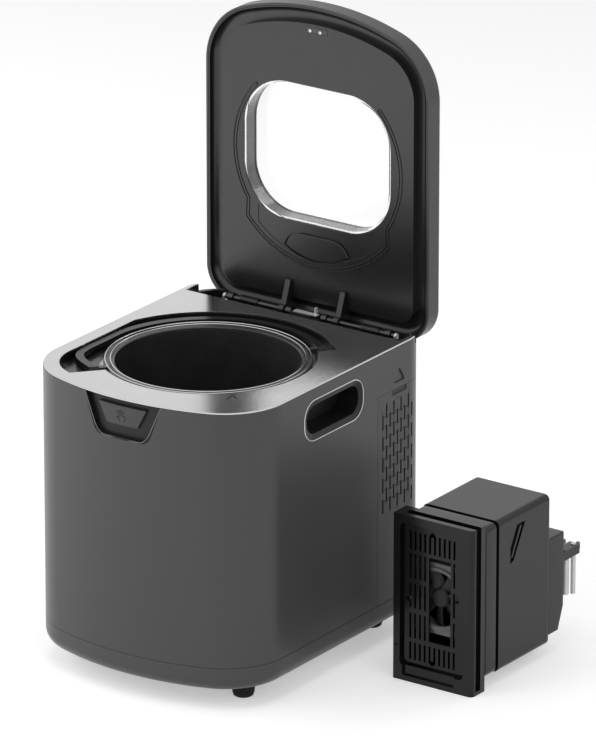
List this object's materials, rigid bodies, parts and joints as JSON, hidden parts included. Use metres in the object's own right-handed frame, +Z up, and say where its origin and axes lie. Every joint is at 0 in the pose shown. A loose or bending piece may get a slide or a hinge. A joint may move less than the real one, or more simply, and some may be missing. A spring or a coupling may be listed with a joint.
{
  "type": "electric food waste composter",
  "caption": "Countertop electric food waste composter: D-shaped housing, hinged lid with window, lift-out bucket with stirrer and bail, rear vent cover, filter cartridge beside it.",
  "frame": {"origin": "on the table, under the middle of the housing's plan", "axes": "+Z up, -Y the bowed front with the start button, +X the right-hand side seen from the front"},
  "size_m": [0.419, 0.3927, 0.6165],
  "materials": {
    "shell_graphite": "satin dark grey",
    "deck_graphite": "satin, reflects at a low angle",
    "black_trim": "fine matt",
    "lid_black": "satin black",
    "inner_black": "matt",
    "cartridge_black": "satin black",
    "rubber_black": "matt",
    "window_clear": "clear polycarbonate",
    "bright_steel": "polished",
    "plain_steel": "zinc plated",
    "dark_steel": "black oxide",
    "bucket_metal": "non-stick coated",
    "chamber_metal": "spun",
    "felt": "needled felt",
    "charcoal": "pleated charcoal media",
    "board_green": "solder mask",
    "spacer_brass": "turned"
  },
  "bodies": {
    "housing": {"outer_shell": "shell_graphite", "base_pan": "shell_graphite", "rubber_feet": "rubber_black", "top_deck": "deck_graphite", "carry_handles": "black_trim", "button_bezel": "black_trim", "chamber_liner": "chamber_metal", "insulation_sleeve": "felt", "exhaust_duct": "inner_black", "heater_plate": "chamber_metal", "motor_plate": "plain_steel", "chassis_posts": "plain_steel", "drive_motor": "plain_steel", "gearbox": "chamber_metal", "shaft_seal": "rubber_black", "filter_bay": "inner_black", "power_inlet": "inner_black", "circuit_boards": "board_green", "board_spacers": "spacer_brass", "board_parts": "inner_black", "latch_magnet": "inner_black", "hinge_rods": "dark_steel", "hinge_brackets": "dark_steel", "hinge_springs": "plain_steel", "lid_switch": "inner_black", "switch_spring": "bright_steel"},
    "lid": {"lid_shell": "shell_graphite", "lid_panel": "lid_black", "lid_window": "window_clear", "window_gasket": "rubber_black", "vent_cover": "lid_black", "vent_plate": "inner_black", "lid_seal": "rubber_black", "lid_striker": "dark_steel", "hinge_arms": "lid_black"},
    "rear_cover": {"rear_cover": "shell_graphite"},
    "catch_right": {"cover_catch_right": "black_trim"},
    "catch_left": {"cover_catch_left": "black_trim"},
    "button": {"start_button": "black_trim", "button_spring": "plain_steel"},
    "drive": {"output_gear": "plain_steel", "drive_shaft": "plain_steel"},
    "pinion": {"motor_pinion": "plain_steel"},
    "bucket": {"bucket": "bucket_metal", "bucket_rim": "bright_steel", "bucket_bush": "inner_black"},
    "stirrer": {"stirrer_spindle": "plain_steel", "stirrer": "chamber_metal"},
    "bail": {"bail_handle": "black_trim"},
    "cartridge": {"cartridge_flange": "cartridge_black", "cartridge_grille": "cartridge_black", "case_front": "cartridge_black", "case_rear": "cartridge_black", "filter_block": "charcoal", "fan_frame": "inner_black", "outlet_box": "cartridge_black", "valve_block": "cartridge_black", "valve_pins": "dark_steel", "cartridge_screws": "plain_steel"},
    "fan": {"fan_rotor": "inner_black"}
  },
  "joints": [
    {"name": "lid_hinge", "type": "hinge", "parent": "housing", "child": "lid", "pos_m": [0, 0.153, 0.298], "axis": [-1, 0, 0], "range_deg": [-90, 0]},
    {"name": "rear_cover_pull", "type": "slide", "parent": "housing", "child": "rear_cover", "axis": [0, 1, 0], "range_m": [0, 0.12]},
    {"name": "catch_right_push", "type": "slide", "parent": "rear_cover", "child": "catch_right", "axis": [-1, 0, 0], "range_m": [0, 0.002], "stiffness_N_per_m": 500},
    {"name": "catch_left_push", "type": "slide", "parent": "rear_cover", "child": "catch_left", "axis": [1, 0, 0], "range_m": [0, 0.002], "stiffness_N_per_m": 500},
    {"name": "button_press", "type": "slide", "parent": "housing", "child": "button", "axis": [0, 1, 0], "range_m": [0, 0.002], "stiffness_N_per_m": 600},
    {"name": "drive_turn", "type": "hinge", "parent": "housing", "child": "drive", "pos_m": [0, -0.021, 0.113], "axis": [0, 0, 1], "continuous": true},
    {"name": "pinion_turn", "type": "hinge", "parent": "housing", "child": "pinion", "pos_m": [0, 0.015, 0.113], "axis": [0, 0, 1], "continuous": true},
    {"name": "bucket_lift", "type": "slide", "parent": "housing", "child": "bucket", "axis": [0, 0, 1], "range_m": [0, 0.2]},
    {"name": "stirrer_turn", "type": "hinge", "parent": "bucket", "child": "stirrer", "pos_m": [0, -0.021, 0.16], "axis": [0, 0, 1], "continuous": true},
    {"name": "bail_swing", "type": "hinge", "parent": "bucket", "child": "bail", "pos_m": [0, -0.021, 0.3038], "axis": [0.6561, 0.7547, 0], "range_deg": [0, 140]},
    {"name": "cartridge_lift", "type": "slide", "parent": "housing", "child": "cartridge", "axis": [0, 0, 1], "range_m": [0, 0.1]},
    {"name": "fan_turn", "type": "hinge", "parent": "cartridge", "child": "fan", "pos_m": [0.237, 0.036, 0.09], "axis": [0, 1, 0], "continuous": true}
  ],
  "couplings": [
    {"joint": "pinion_turn", "follows": "drive_turn", "ratio": -3},
    {"joint": "stirrer_turn", "follows": "drive_turn", "ratio": 1}
  ]
}
